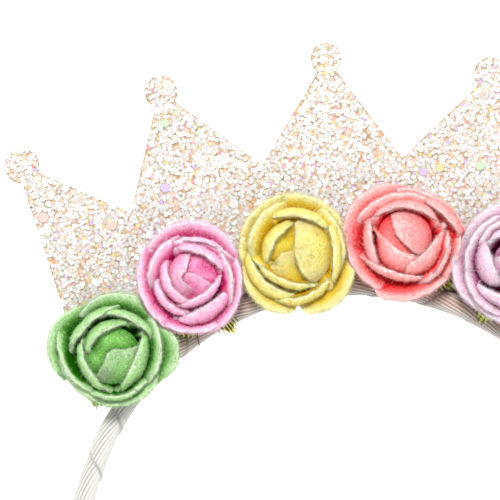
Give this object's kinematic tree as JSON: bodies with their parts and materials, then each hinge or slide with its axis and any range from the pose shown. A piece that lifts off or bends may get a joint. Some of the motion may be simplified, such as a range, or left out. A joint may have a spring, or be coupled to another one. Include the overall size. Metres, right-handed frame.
{
  "type": "mini crown headband",
  "caption": "Ribbon-wound headband with a glitter crown of pointed spikes and a row of felt roses along the crown's base.",
  "frame": {"origin": "middle of the outline, on the plane of the crown sheet's back, which the headband lies on", "axes": "+Y from the legs' tips to the crown's tips, +Z out of the crown's front, +X to the right of a viewer who faces the front"},
  "size_m": [0.1636, 0.1825, 0.0155],
  "materials": {
    "glitter_sheet": "glitter coated sheet",
    "ribbon": "ribbed grosgrain ribbon",
    "green_felt": "wool felt",
    "pink_felt": "wool felt",
    "yellow_felt": "wool felt",
    "coral_felt": "wool felt",
    "lilac_felt": "wool felt",
    "woven_leaf": "woven metallic ribbon"
  },
  "bodies": {
    "root": {"crown_sheet": "glitter_sheet", "band": "ribbon", "green_bud": "green_felt", "green_inner_petals": "green_felt", "green_middle_petals": "green_felt", "green_outer_petals": "green_felt", "pink_bud": "pink_felt", "pink_inner_petals": "pink_felt", "pink_middle_petals": "pink_felt", "pink_outer_petals": "pink_felt", "yellow_bud": "yellow_felt", "yellow_inner_petals": "yellow_felt", "yellow_middle_petals": "yellow_felt", "yellow_outer_petals": "yellow_felt", "coral_bud": "coral_felt", "coral_inner_petals": "coral_felt", "coral_middle_petals": "coral_felt", "coral_outer_petals": "coral_felt", "lilac_bud": "lilac_felt", "lilac_inner_petals": "lilac_felt", "lilac_middle_petals": "lilac_felt", "lilac_outer_petals": "lilac_felt", "far_green_bud": "green_felt", "far_green_inner_petals": "green_felt", "far_green_middle_petals": "green_felt", "far_green_outer_petals": "green_felt", "leaf_1": "woven_leaf", "leaf_2": "woven_leaf", "leaf_3": "woven_leaf", "leaf_4": "woven_leaf", "leaf_5": "woven_leaf"}
  },
  "joints": []
}
